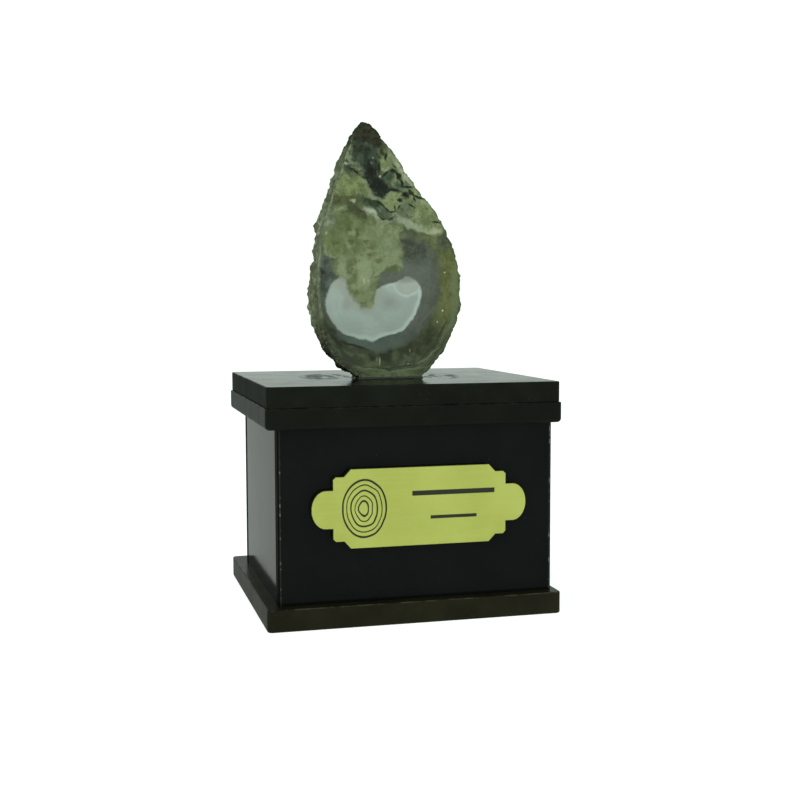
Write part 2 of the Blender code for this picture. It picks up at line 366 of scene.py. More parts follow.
def acrylic_finish(name, low, high, gloss, chipped):
    """Polished black acrylic: faint wiping marks, dust, and a painted highlight down its upright arrises,
    broken up by pale chips.
    """
    finish, tree, shader = new_finish(name)
    place = millimetres(tree)
    haze = between(tree, cloud(tree, place, 9.0, 4.0, 0.6), 0.3, 0.75)
    colour = lay_over(tree, haze, shade(10, 13, 12), shade(14, 17, 15))
    edge = edge_distance(tree, place, low - Vector((0, 0, 50 * MM)), high + Vector((0, 0, 50 * MM)))
    # Painted highlight and chips: a pale line along the rounded upright edges, broken by a cloudy pattern
    # into short light dashes and chips.
    chip_and_highlight_pattern = between(tree, cloud(tree, place, 2.0, 5.0, 0.75), 0.54, 0.66)
    from_arris = sums(tree, "ABSOLUTE", minus(tree, edge, 0.40))
    edge_highlight_line = times(tree, between(tree, from_arris, 0.16, 0.06), plus(tree, chip_and_highlight_pattern, 0.1))
    chips_and_edge_highlight = times(tree, edge_highlight_line, chipped)
    colour = lay_over(tree, times(tree, chips_and_edge_highlight, 0.7), colour, shade(128, 136, 124))
    grains = add_node(tree, "TexVoronoi", {"Vector": place, "Scale": 0.9}).outputs["Distance"]
    settled = between(tree, cloud(tree, place, 4.0, 2.0), 0.6, 0.66)
    dusty = times(tree, between(tree, grains, 0.07, 0.04), settled)
    colour = lay_over(tree, times(tree, dusty, 0.5), colour, shade(120, 128, 118))
    wiped = cloud(tree, place, 5.0, 4.0, 0.6, (1.0, 1.0, 0.4))
    rough = between(tree, wiped, 0.35, 0.7, 0.09, 0.14)
    rough = plus(tree, rough, times(tree, chips_and_edge_highlight, 0.4))
    relief = bump(tree, cloud(tree, place, 7.0, 1.0), 0.004)
    inputs = {"Base Color": colour, "Roughness": rough, "Normal": relief, "Specular IOR Level": gloss}
    fill(tree, shader, inputs)
    return finish


def sawn_finish():
    """The sawn edge of black acrylic: dull, with fine upright saw marks."""
    finish, tree, shader = new_finish("sawn acrylic edge")
    place = millimetres(tree)
    marks = cloud(tree, place, 0.35, 3.0, 0.6, (1.0, 1.0, 0.08))
    colour = lay_over(tree, between(tree, marks, 0.4, 0.8), shade(7, 9, 7), shade(16, 18, 15))
    relief = bump(tree, marks, 0.02)
    inputs = {"Base Color": colour, "Roughness": 0.7, "Normal": relief, "Specular IOR Level": 0.01}
    fill(tree, shader, inputs)
    return finish


def side_faces(piece, along):
    """The faces of a piece that look along an axis, one way or the other."""
    return [face for face in piece.data.polygons if abs(face.normal[along]) > 0.7]


def cut_sheet(name, low, high, rounded_y):
    """A sheet as high as the box. Its upright edges at one depth are rounded, and the rest are crisp."""
    sheet = start_cube(name, low, high)
    if rounded_y is not None:
        bevel_edges(sheet, lambda a, b: upright_edge(a, b) and close(a.y, rounded_y), ROUNDED_ARRIS, 5)
        bevel_edges(sheet, lambda a, b: upright_edge(a, b) and abs(a.y - rounded_y) > 2 * MM, CRISP_ARRIS, 2)
    else:
        bevel_edges(sheet, upright_edge, CRISP_ARRIS, 2)
    shade_rounds(sheet, 35)
    return sheet


sawn_edge = sawn_finish()
side_front = BOX_FRONT + SHEET
side_back = BOX_BACK - SHEET
box_sheets = (
    ("front", (BOX_LEFT, BOX_FRONT), (BOX_RIGHT, side_front), BOX_FRONT, "front_panel", 0),
    ("back", (BOX_LEFT, side_back), (BOX_RIGHT, BOX_BACK), BOX_BACK, "back_panel", 0),
    ("left", (BOX_LEFT, side_front), (BOX_LEFT + SHEET, side_back), None, "left_side_panel", 1),
    ("right", (BOX_RIGHT - SHEET, side_front), (BOX_RIGHT, side_back), None, "right_side_panel", 1),
)
for side, near_corner, far_corner, rounded_y, node, sawn_axis in box_sheets:
    low = Vector((*near_corner, BASE_TOP))
    high = Vector((*far_corner, CAP_UNDERSIDE))
    sheet = cut_sheet(side + "_sheet", low, high, rounded_y)
    # The front and back sheets carry the painted edge highlight with its chips at strength 0.8; the side
    # sheets carry none.
    gloss, chipped = (0.006, 0.0) if sawn_axis == 1 else (0.04, 0.8)
    put_on(sheet, acrylic_finish(side + " sheet acrylic", low, high, gloss, chipped), node)
    sheet.data.materials.append(sawn_edge)
    for face in side_faces(sheet, sawn_axis):
        face.material_index = 1


# The plate: two-layer engraving laminate with a satin gold face over a dark core, cut to a stepped outline
# with round ends, and glued to the front sheet. It carries rings like an agate's bands and two plain rules,
# cut down to the core.
PLATE_MIDDLE = Vector((0.7 * MM, 0.0, 22.4 * MM))
PLATE_THICKNESS = 1.5 * MM
PLATE_EASING = 0.12 * MM
PLATE_FRONT = BOX_FRONT - PLATE_THICKNESS
PLATE_BACK = BOX_FRONT


def bring_in(name, mesh):
    """An object made from a mesh, put into the scene and held ready to be shaped."""
    piece = bpy.data.objects.new(name, mesh)
    bpy.context.scene.collection.objects.link(piece)
    bpy.ops.object.select_all(action="DESELECT")
    bpy.context.view_layer.objects.active = piece
    piece.select_set(True)
    return piece


end_angles = [math.radians(9 * step) for step in range(11)]
plate_end = [(18.4 + 2.7 * math.cos(angle), 3.6 * math.sin(angle)) for angle in end_angles]
plate_quarter = plate_end + [(17.0, 3.6), (17.0, 5.6), (16.5, 6.1), (14.9, 6.1), (13.6, 7.5)]
plate_upper = plate_quarter + [(-x, z) for x, z in reversed(plate_quarter)]
plate_outline = plate_upper + [(x, -z) for x, z in reversed(plate_upper[1:-1])]
plate_mesh = bpy.data.meshes.new("plate")
plate_mesh.from_pydata(
    [(PLATE_MIDDLE.x + x * MM, PLATE_BACK, PLATE_MIDDLE.z + z * MM) for x, z in plate_outline],
    [],
    [range(len(plate_outline))],
)
plate = bring_in("plate", plate_mesh)
bpy.ops.object.mode_set(mode="EDIT")
bpy.ops.mesh.select_all(action="SELECT")
bpy.ops.mesh.extrude_region_move(TRANSFORM_OT_translate={"value": (0, PLATE_FRONT - PLATE_BACK, 0)})
bpy.ops.mesh.select_all(action="SELECT")
bpy.ops.mesh.normals_make_consistent(inside=False)
bpy.ops.object.mode_set(mode="OBJECT")
bevel_edges(plate, lambda a, b: close(a.y, PLATE_FRONT) and close(b.y, PLATE_FRONT), PLATE_EASING, 2)
shade_rounds(plate, 30)


def oval(tree, place, middle, half_sizes, turn=0.0, blur=0.2):
    """A share that is 1 inside an oval drawn on the front and 0 outside it, with a soft edge."""
    outer = 1 + blur
    inside = add_node(
        tree,
        "Mapping",
        {
            "Vector": place,
            "Location": (middle[0], 0, middle[1]),
            "Rotation": (0, math.radians(turn), 0),
            "Scale": (half_sizes[0] * outer, 10000, half_sizes[1] * outer),
        },
        vector_type="TEXTURE",
    ).outputs[0]
    nearness = add_node(tree, "TexGradient", {"Vector": inside}, gradient_type="SPHERICAL").outputs["Fac"]
    return between(tree, nearness, 0.0, 2 * blur / outer)


plate_gold, tree, shader = new_finish("satin gold laminate")
place = millimetres(tree)
brushed = cloud(tree, place, 0.5, 3.0, 0.6, (0.03, 1.0, 2.0))
tint = cloud(tree, place, 9.0, 3.0)
gold = lay_over(tree, between(tree, tint, 0.3, 0.7), shade(157, 164, 78), shade(166, 173, 88))
gold = lay_over(tree, between(tree, brushed, 0.45, 0.75, 0.0, 0.25), gold, shade(176, 182, 104))
RINGS_MIDDLE = (-10.3, 0, 22.4)
PER_HALF_RING = (1 / 4.2, 0, 1 / 5.4)
drift = times(tree, minus(tree, cloud(tree, place, 3.0, 1.0), 0.5), 0.25)
offset = add_node(tree, "VectorMath", {0: place, 1: RINGS_MIDDLE}, operation="SUBTRACT").outputs[0]
squeezed = add_node(tree, "VectorMath", {0: offset, 1: PER_HALF_RING}, operation="MULTIPLY").outputs[0]
reach = add_node(tree, "VectorMath", {0: squeezed}, operation="LENGTH").outputs["Value"]
wavering = plus(tree, reach, times(tree, drift, minus(tree, 1.25, reach)))
cut = 0.0
for ring, half_line in ((1.0, 0.035), (0.82, 0.02), (0.62, 0.03), (0.42, 0.02), (0.24, 0.03)):
    from_line = sums(tree, "ABSOLUTE", minus(tree, wavering, ring))
    cut = sums(tree, "MAXIMUM", cut, between(tree, from_line, half_line + 0.01, half_line - 0.01))
split = add_node(tree, "SeparateXYZ", {0: place}).outputs
for rule_middle, rule_height, rule_half, rule_thick in ((7.2, 24.9, 8.2, 0.45), (7.2, 20.2, 4.6, 0.3)):
    along = sums(tree, "ABSOLUTE", minus(tree, split[0], rule_middle))
    across = sums(tree, "ABSOLUTE", minus(tree, split[2], rule_height))
    within = between(tree, along, rule_half + 0.05, rule_half - 0.05)
    ruled = times(tree, within, between(tree, across, rule_thick + 0.05, rule_thick - 0.05))
    cut = sums(tree, "MAXIMUM", cut, ruled)
front_only = between(tree, split[1], PLATE_FRONT / MM + 0.10, PLATE_FRONT / MM + 0.04)
cut = times(tree, cut, front_only)
core = between(tree, split[1], PLATE_FRONT / MM + 0.16, PLATE_FRONT / MM + 0.26)
face = lay_over(tree, cut, gold, shade(30, 33, 22))
face = lay_over(tree, core, face, shade(26, 28, 20))
metallic = times(tree, front_only, minus(tree, 0.35, cut))
satin = between(tree, brushed, 0.3, 0.8, 0.36, 0.48)
grooves = bump(tree, minus(tree, 1.0, cut), 0.12)
grooves = bump(tree, brushed, 0.006, grooves)
fill(tree, shader, {"Base Color": face, "Metallic": metallic, "Roughness": satin})
fill(tree, shader, {"Normal": grooves, "Specular IOR Level": 0.2})
put_on(plate, plate_gold, "name_plate")


# The stone: half of an agate nodule. Its flat side is sawn and polished, its back is the nodule's own rough
# rind, and a small foot is ground flat under it. It stands on the cap in a bead of clear glue.
FACE_Y = -7.0 * MM
FOOT_Z = 45.95 * MM
MESH_FACE = 0.22 * MM
RIND_START = 1.4 * MM
FOOT_CLEAR = 0.8 * MM
CALMING_HEIGHT = 60 * MM
stone = bring_in("agate_stone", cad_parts["agate"].data.copy())
stone.data.materials.clear()
bpy.ops.object.mode_set(mode="EDIT")
bpy.ops.mesh.select_mode(type="FACE")
bpy.ops.mesh.select_all(action="SELECT")
bpy.ops.mesh.remove_doubles(threshold=0.001 * MM)
bpy.ops.mesh.customdata_custom_splitnormals_clear()
bpy.ops.object.mode_set(mode="OBJECT")
even = stone.modifiers.new("even faces", "REMESH")
even.mode = "VOXEL"
even.voxel_size = MESH_FACE
bpy.ops.object.modifier_apply(modifier=even.name)

# The left flank bulges and draws in from the foot to the tip: each pair is a height over the foot and how far
# the rind stands out there, in millimetres.
LEFT_FLANK = (
    (0.0, 0.0), (5.0, 0.0), (7.8, 0.35), (10.2, 0.1), (13.8, 0.6), (16.2, 0.4),
    (18.6, -0.1), (21.0, -0.4), (23.4, -0.6), (29.0, -0.5), (31.0, 0.3), (34.2, 0.9),
    (37.8, 0.45), (41.4, 0.95), (43.8, 1.0), (48.6, 0.5), (52.0, 0.0),
)
FLANK_START = -4.0 * MM
FLANK_BLEND = 3.0 * MM


def stand_out(height):
    """How far the left flank stands out at a height over the foot, both in millimetres."""
    for (low, low_out), (high, high_out) in zip(LEFT_FLANK, LEFT_FLANK[1:]):
        if low <= height <= high:
            return low_out + (high_out - low_out) * (height - low) / (high - low)
    return 0.0


rind = stone.vertex_groups.new(name="rind")
hind = stone.vertex_groups.new(name="hind")
for corner in stone.data.vertices:
    behind_cut = (corner.co.y - FACE_Y) / RIND_START
    on_left = max(0.0, min((FLANK_START - corner.co.x) / FLANK_BLEND, 1.0)) * max(0.0, min(behind_cut, 1.0))
    corner.co.x -= on_left * stand_out((corner.co.z - FOOT_Z) / MM) * MM
    above_foot = (corner.co.z - FOOT_Z) / FOOT_CLEAR
    calmer = 1.25 - (corner.co.z - FOOT_Z) / CALMING_HEIGHT
    rind.add([corner.index], max(0.0, min(behind_cut, above_foot, calmer, 1.0)), "REPLACE")
    hind.add([corner.index], max(0.0, min((behind_cut - 1) / 6, above_foot / 4, calmer, 1.0)), "REPLACE")
for name, basis, direction, where, size, height in (
    ("lumps", "ORIGINAL_PERLIN", "NORMAL", "hind", 6.0, 2.8),
    ("knobs", "BLENDER_ORIGINAL", "NORMAL", "rind", 2.6, 1.3),
    ("crust", "IMPROVED_PERLIN", "NORMAL", "rind", 1.1, 0.6),
    ("grit", "ORIGINAL_PERLIN", "NORMAL", "rind", 0.5, 0.25),
    ("chipped across", "BLENDER_ORIGINAL", "X", "", 1.7, 1.0),
    ("chipped upwards", "IMPROVED_PERLIN", "Z", "", 1.5, 1.0),
    ("nibbled across", "IMPROVED_PERLIN", "X", "", 0.7, 0.34),
    ("nibbled upwards", "ORIGINAL_PERLIN", "Z", "", 0.6, 0.34),
):
    pattern = bpy.data.textures.new(name, "CLOUDS")
    pattern.noise_basis = basis
    pattern.noise_scale = size * MM
    pattern.noise_depth = 2
    relief = stone.modifiers.new(name, "DISPLACE")
    relief.texture = pattern
    relief.texture_coords = "LOCAL"
    relief.direction = direction
    relief.strength = height * MM
    relief.mid_level = 0.5
    relief.vertex_group = where
    bpy.ops.object.modifier_apply(modifier=relief.name)


def press_flat(piece, axis, level, reach):
    """Bring all points of a piece that lie within reach of a level, or below it, onto that level."""
    bpy.ops.object.mode_set(mode="EDIT")
    bpy.ops.mesh.select_mode(type="VERT")
    bpy.ops.mesh.select_all(action="DESELECT")
    shape = bmesh.from_edit_mesh(piece.data)
    for corner in shape.verts:
        corner.select_set(corner.co[axis] < level + reach)
    shape.select_flush_mode()
    bmesh.update_edit_mesh(piece.data)
    middle = Vector((0, 0, 0))
    middle[axis] = level
    squeeze = [1, 1, 1]
    squeeze[axis] = 0
    bpy.ops.transform.resize(value=squeeze, center_override=middle)
    bpy.ops.object.mode_set(mode="OBJECT")


ACROSS_CUT, UPWARDS = 1, 2
press_flat(stone, ACROSS_CUT, FACE_Y, 0.12 * MM)
press_flat(stone, UPWARDS, FOOT_Z, 0.25 * MM)
bpy.ops.object.shade_smooth_by_angle(angle=math.radians(38))

# Outlines of the minerals on the polished face, in millimetres across and above the cap.
# Each is drawn round a middle from which its whole edge can be seen.
FACE_RIM = (
    (-5.8, 51.3), (-7.5, 49.7), (-9.3, 45.6), (-10.9, 41.3), (-12.2, 37.5), (-13.9, 32.4),
    (-15.0, 27.5), (-15.8, 21.5), (-15.6, 15.5), (-15.1, 10.4), (-13.2, 5.0), (-9.6, 1.5),
    (-5.4, -0.1), (-0.6, -0.6), (4.6, -0.1), (9.3, 3.6), (12.5, 9.4), (14.1, 15.9),
    (13.6, 22.8), (11.3, 28.4), (9.0, 33.0), (5.2, 37.9), (1.2, 43.2), (-2.6, 48.7),
)
PALE_OUTLINE = (
    (-12.9, 18.4), (-11.8, 19.7), (-10.7, 20.3), (-9.6, 19.6), (-8.4, 18.4), (-7.2, 17.4), (-6.1, 17.0),
    (-4.9, 17.0), (-4.0, 17.4), (-3.2, 18.0), (-1.9, 18.7), (0.1, 19.1), (1.6, 20.0), (3.7, 20.2),
    (5.1, 19.1), (5.75, 17.7), (5.6, 15.7), (4.6, 12.9), (3.1, 10.9), (1.2, 9.4), (-1.3, 8.7), (-3.0, 8.2),
    (-4.1, 7.5), (-6.1, 7.9), (-8.3, 8.5), (-9.9, 8.8), (-11.3, 9.9), (-12.7, 11.6), (-13.7, 13.8),
    (-13.8, 16.3),
)
GREY_OUTLINE = (
    (-14.7, 16.3), (-14.6, 19.0), (-9.0, 21.5), (-4.0, 24.5), (-0.5, 27.2), (1.6, 28.4), (3.6, 28.3),
    (6.4, 27.6), (8.6, 25.6), (9.4, 22.4), (9.8, 18.8), (9.5, 16.6), (8.7, 14.0), (7.0, 11.0), (4.8, 8.7),
    (2.5, 6.9), (-0.2, 6.2), (-2.4, 5.7), (-5.5, 6.1), (-7.4, 6.6), (-9.9, 7.6), (-11.6, 8.8), (-13.3, 11.0),
    (-14.4, 13.8),
)
MOSS_OUTLINE = (
    (-10.4, 20.2), (-9.6, 18.2), (-8.8, 16.3), (-7.6, 14.9), (-6.1, 14.2), (-4.7, 14.3), (-4.1, 15.4),
    (-3.6, 17.1), (-2.4, 20.6), (0.6, 21.4), (2.2, 23.0), (1.9, 26.0), (1.2, 28.6), (2.0, 30.2), (-0.6, 31.6),
    (-3.6, 32.2), (-5.5, 34.4), (-8.2, 35.2), (-11.5, 34.6), (-13.4, 31.5), (-14.3, 28.0), (-14.2, 25.2),
    (-12.3, 24.0), (-12.0, 21.0),
)
DARK_PATCH_OUTLINE = (
    (-15.9, 22.4), (-15.5, 24.4), (-13.8, 24.8), (-12.5, 23.6), (-12.2, 21.0), (-12.9, 18.8), (-14.3, 16.4),
    (-15.4, 16.4), (-16.0, 19.0),
)
YELLOW_OUTLINE = (
    (-12.6, 36.2), (-11.8, 39.4), (-9.6, 40.6), (-7.0, 40.1), (-5.4, 38.2), (-3.4, 35.9), (-5.0, 36.0),
    (-7.5, 36.6), (-9.8, 35.9),
)
CORE_OUTLINE = (
    (-5.0, 43.4), (-6.0, 41.2), (-5.8, 39.0), (-4.5, 37.3), (-3.3, 35.9), (-1.6, 37.0), (-1.7, 39.4),
    (-3.0, 40.5), (-3.3, 42.6), (-4.0, 43.6),
)
TIP_OUTLINE = (
    (-8.6, 48.2), (-6.0, 52.4), (-3.4, 51.0), (-1.6, 48.0), (-1.9, 46.4), (-3.4, 45.9), (-4.6, 46.8),
    (-6.8, 47.5),
)
BEIGE_OUTLINE = (
    (0.9, 45.6), (-2.6, 45.6), (-2.6, 42.0), (-1.8, 40.6), (0.4, 41.8), (2.2, 38.8), (0.6, 37.6),
    (-2.6, 36.4), (-2.5, 34.6), (-0.9, 33.6), (0.8, 33.6), (0.4, 32.4), (2.4, 31.2), (6.0, 29.9),
    (10.2, 29.6), (10.4, 31.6), (8.4, 35.0), (5.4, 38.6), (3.0, 41.6),
)


def outline_gap(tree, across, height, middle, outline):
    """How far a point lies outside an outline, in millimetres measured from the outline's middle."""
    right = minus(tree, across, middle[0])
    above = minus(tree, height, middle[1])
    away = sums(tree, "SQRT", sums(tree, "MULTIPLY_ADD", above, above, times(tree, right, right)))
    angle = sums(tree, "ARCTAN2", above, right)
    share = add_node(tree, "MapRange", {"Value": angle, "From Min": -math.pi, "From Max": math.pi}).outputs[0]
    rays = sorted(
        (math.atan2(z - middle[1], x - middle[0]) / math.tau + 0.5, math.hypot(x - middle[0], z - middle[1]))
        for x, z in outline
    )
    before, after = rays[-1], rays[0]
    seam = before[1] + (after[1] - before[1]) * (1 - before[0]) / (1 - before[0] + after[0])
    longest = max(ray[1] for ray in rays)
    curve = add_node(tree, "FloatCurve", {"Value": share})
    points = curve.mapping.curves[0].points
    points[0].location = (0, seam / longest)
    points[1].location = (1, seam / longest)
    for turn, reach in rays:
        points.new(turn, reach / longest)
    curve.mapping.update()
    return minus(tree, away, times(tree, curve.outputs[0], longest))


def wander(tree, place, across, height, swirls):
    """Across and height, moved about for natural edges by clouds of given size, reach and detail."""
    for size, reach, detail in swirls:
        for seed, name in ((0.0, "across"), (41.7, "height")):
            shifted = add_node(tree, "Mapping", {"Vector": place, "Location": (seed, 0, seed)}).outputs[0]
            push = sums(tree, "MULTIPLY_ADD", cloud(tree, shifted, size, detail), 2 * reach, -reach)
            if name == "across":
                across = plus(tree, across, push)
            else:
                height = plus(tree, height, push)
    return across, height


def gather(tree, across, depth, height):
    """One place put together again from its three parts."""
    joined = add_node(tree, "CombineXYZ", {0: across, 1: depth, 2: height}).outputs[0]
    return add_node(tree, "Mapping", {"Vector": joined}).outputs[0]


agate, tree, shader = new_finish("polished agate and rind")
place = millimetres(tree, CAP_TOP)
across, depth, height = add_node(tree, "SeparateXYZ", {0: place}).outputs
CALM_SWIRLS = ((2.2, 0.45, 2.0), (0.6, 0.13, 2.0))
ROUGH_SWIRLS = ((3.5, 1.0, 2.0), (1.2, 0.8, 3.0), (0.4, 0.26, 2.0))
calm_across, calm_height = wander(tree, place, across, height, CALM_SWIRLS)
rough_across, rough_height = wander(tree, place, across, height, ROUGH_SWIRLS)
rim = outline_gap(tree, calm_across, calm_height, (-1.0, 16.0), FACE_RIM)
grey = outline_gap(tree, calm_across, calm_height, (-2.5, 15.5), GREY_OUTLINE)
patch = outline_gap(tree, calm_across, calm_height, (-14.2, 20.5), DARK_PATCH_OUTLINE)
pale = outline_gap(tree, calm_across, calm_height, (-4.4, 12.0), PALE_OUTLINE)
under_wedge = outline_gap(tree, calm_across, calm_height, (-6.0, 20.0), MOSS_OUTLINE)
moss = outline_gap(tree, rough_across, rough_height, (-6.0, 24.0), MOSS_OUTLINE)
yellow = outline_gap(tree, rough_across, rough_height, (-7.8, 37.8), YELLOW_OUTLINE)
beige = outline_gap(tree, calm_across, calm_height, (1.6, 37.4), BEIGE_OUTLINE)
core_gap = outline_gap(tree, rough_across, rough_height, (-3.8, 39.6), CORE_OUTLINE)
tip_gap = outline_gap(tree, rough_across, rough_height, (-4.8, 48.6), TIP_OUTLINE)
calm = gather(tree, calm_across, depth, calm_height)
rough = gather(tree, rough_across, depth, rough_height)
still = gather(tree, across, depth, height)
fine = cloud(tree, still, 0.45, 4.0, 0.7)
medium = cloud(tree, still, 1.3, 4.0, 0.65)
broad = cloud(tree, still, 4.0, 3.0, 0.6)


def mottled(first, second, pattern=None, low=0.38, high=0.64):
    """A colour that varies between two by a cloudy pattern."""
    share = between(tree, medium if pattern is None else pattern, low, high)
    return lay_over(tree, share, shade(*first), shade(*second))


# The outer zone: brown and olive chalcedony in thin layers that follow the nodule's outline.
face_coats = [mottled((60, 69, 47), (78, 90, 64), broad)]


def paint(share, over, coats=face_coats):
    """Lay one more colour over the last of the coats, which are the face's own if no others are named."""
    coats.append(lay_over(tree, share, coats[-1], over))


def dab(where, blur, *spots, coats=face_coats):
    """Paint soft ovals, each by its middle, half sizes, turn, colour and strength."""
    for middle, half_sizes, turn, colour, strength in spots:
        soft = oval(tree, where, middle, half_sizes, turn, blur)
        paint(soft if strength == 1 else times(tree, soft, strength), shade(*colour), coats)


def cloudy_dab(where, *spots):
    """Paint soft ovals, each by its middle, half sizes, turn, blur and the two colours it varies between."""
    for middle, half_sizes, turn, blur, first, second in spots:
        paint(oval(tree, where, middle, half_sizes, turn, blur), mottled(first, second))


layers = sums(tree, "SINE", plus(tree, times(tree, rim, 4.6), times(tree, medium, 6.0)))
low_half = oval(tree, still, (-1.0, 3.0), (14.0, 9.0), blur=0.35)
paint(times(tree, between(tree, layers, 0.1, 0.9, 0.0, 0.5), low_half), shade(84, 97, 72))
paint(times(tree, between(tree, layers, -0.3, -0.95, 0.0, 0.55), low_half), shade(48, 56, 39))
cloudy_dab(rough, ((10.9, 19.0), (3.0, 9.6), 0, 0.45, (78, 88, 50), (96, 106, 65)))
paint(oval(tree, rough, (13.0, 17.0), (0.9, 6.5), blur=0.5), shade(98, 109, 74))
cloudy_dab(
    rough,
    ((7.8, 27.8), (3.0, 1.9), 0, 0.4, (78, 88, 55), (97, 108, 76)),
    ((10.6, 27.6), (1.4, 1.8), 0, 0.5, (58, 67, 48), (84, 94, 70)),
    ((4.5, 6.4), (5.5, 2.6), -32, 0.5, (50, 57, 36), (70, 79, 54)),
    ((0.5, 3.7), (6.5, 1.2), 0, 0.6, (54, 63, 43), (76, 87, 64)),
)
dab(
    rough, 0.5,
    ((-1.7, 4.4), (1.4, 0.9), 0, (38, 46, 31), 0.9), ((-0.7, 5.7), (0.8, 0.7), 0, (38, 47, 32), 1),
    ((-4.2, 4.2), (0.7, 0.8), 0, (40, 48, 32), 1), ((2.4, 5.3), (0.5, 0.6), 0, (50, 58, 38), 1),
    ((7.2, 8.4), (1.2, 0.7), -45, (50, 58, 38), 0.9), ((-7.6, 3.8), (1.8, 0.7), 20, (50, 56, 42), 0.8),
    ((-9.8, 3.6), (1.6, 1.0), 36, (52, 58, 46), 0.9),
)
cloudy_dab(calm, ((0.0, 0.6), (5.5, 0.8), 0, 0.5, (74, 87, 60), (93, 106, 74)))
for lighter_line, half_sizes, turn in (
    ((2.0, 1.6), (4.6, 0.18), -6), ((7.7, 4.6), (2.6, 0.18), -40), ((10.6, 8.9), (2.6, 0.18), -60),
    ((-3.0, 1.7), (3.6, 0.16), 8), ((5.9, 3.5), (2.0, 0.15), -30), ((12.2, 11.5), (2.4, 0.3), -68),
):
    paint(oval(tree, calm, lighter_line, half_sizes, turn, 0.6), shade(92, 106, 81))
for darker_line, half_sizes, turn in (
    ((1.5, 2.3), (4.8, 0.17), -6), ((7.3, 5.4), (2.4, 0.18), -40), ((10.0, 9.4), (2.4, 0.17), -60),
):
    paint(oval(tree, calm, darker_line, half_sizes, turn, 0.6), shade(50, 60, 42))

# The grey zone: clouded blue-grey chalcedony, darker and browner towards the outer zone and at its top.
grey_coats = [mottled((83, 91, 81), (91, 99, 90), broad)]
paint(between(tree, grey, -2.6, -0.4), mottled((72, 80, 68), (85, 93, 81), broad), grey_coats)
grey_low = oval(tree, calm, (-4.5, 7.2), (9.0, 2.6), 0, 0.4)
paint(grey_low, mottled((75, 90, 80), (84, 99, 88), broad), grey_coats)
grey_top = oval(tree, rough, (4.2, 26.2), (4.6, 2.6), 10, 0.5)
paint(grey_top, mottled((60, 68, 56), (80, 89, 74)), grey_coats)
paint(between(tree, grey, 0.8, -0.6), grey_coats[-1])
dab(
    rough, 0.6,
    ((0.9, 28.7), (0.6, 0.4), 20, (56, 66, 44), 0.7), ((2.2, 28.6), (0.8, 0.5), 0, (92, 105, 80), 0.8),
    ((3.4, 27.2), (1.2, 0.5), 20, (54, 62, 48), 0.8), ((4.4, 25.0), (0.9, 0.35), -10, (56, 64, 54), 0.7),
    ((9.4, 21.5), (0.8, 2.4), 8, (86, 94, 72), 0.5), ((-6.8, 5.6), (3.2, 0.6), 12, (60, 68, 52), 0.9),
    ((-12.9, 9.6), (1.8, 0.5), 52, (44, 50, 40), 0.9),
)
dab(
    calm, 0.6,
    ((-8.7, 6.9), (4.0, 0.26), 18, (40, 46, 35), 1), ((-11.6, 7.6), (1.9, 0.32), 48, (42, 48, 36), 1),
    ((7.4, 19.6), (0.16, 3.4), 4, (92, 102, 92), 0.5), ((6.5, 12.0), (0.18, 2.6), 38, (92, 103, 92), 0.5),
)
patch_tone = mottled((60, 68, 60), (84, 97, 84), cloud(tree, still, 2.2, 3.0))
paint(between(tree, patch, 0.5, -0.4), patch_tone)
dab(
    rough, 0.5,
    ((-14.6, 21.6), (1.4, 0.5), 20, (36, 42, 36), 0.9), ((-15.3, 19.6), (0.5, 2.2), 0, (38, 45, 38), 0.9),
    ((-14.2, 18.0), (0.5, 1.2), 0, (54, 62, 54), 0.7), ((-13.0, 22.0), (0.7, 1.0), 0, (84, 94, 80), 0.5),
    ((-15.0, 14.6), (0.35, 1.8), 0, (52, 62, 56), 0.7),
)

# The pale zone: white-blue chalcedony with a lighter skin below, a soft inner zone and a small bright lobe.
pale_coats = [mottled((144, 161, 150), (152, 169, 158), broad)]
skin = times(tree, between(tree, pale, -1.3, -0.3), oval(tree, still, (2.0, 10.5), (11.0, 9.0), -20, 0.3))
paint(skin, shade(167, 188, 176), pale_coats)
inner_ring_gap = sums(tree, "ABSOLUTE", plus(tree, pale, 2.3))
paint(between(tree, inner_ring_gap, 0.25, 0.05, 0.0, 0.3), shade(141, 154, 146), pale_coats)
dab(
    calm, 0.6,
    ((-1.0, 15.4), (2.2, 1.5), 20, (139, 152, 144), 1), ((-0.8, 15.3), (0.8, 0.6), 0, (133, 146, 137), 1),
    ((-9.2, 15.2), (1.0, 1.6), 30, (140, 153, 141), 1), ((-10.8, 19.0), (1.4, 1.0), 0, (147, 158, 145), 1),
    coats=pale_coats,
)
paint(between(tree, under_wedge, 1.8, 0.5, 0.0, 0.8), shade(141, 153, 141), pale_coats)
halo_gap = sums(tree, "ABSOLUTE", minus(tree, under_wedge, 0.45))
paint(between(tree, halo_gap, 0.3, 0.0, 0.0, 0.6), shade(148, 158, 138), pale_coats)
paint(oval(tree, calm, (2.8, 18.8), (2.75, 2.4), 0, 0.14), shade(171, 186, 177), pale_coats)
lobe_tone = mottled((150, 162, 150), (156, 170, 160), broad)
paint(oval(tree, calm, (2.8, 18.95), (2.5, 2.15), 0, 0.10), lobe_tone, pale_coats)
paint(oval(tree, calm, (2.6, 20.4), (2.6, 1.0), 0, 0.6), shade(128, 139, 129), pale_coats)
pale_share = between(tree, pale, 0.3, -0.25)
paint(pale_share, pale_coats[-1])

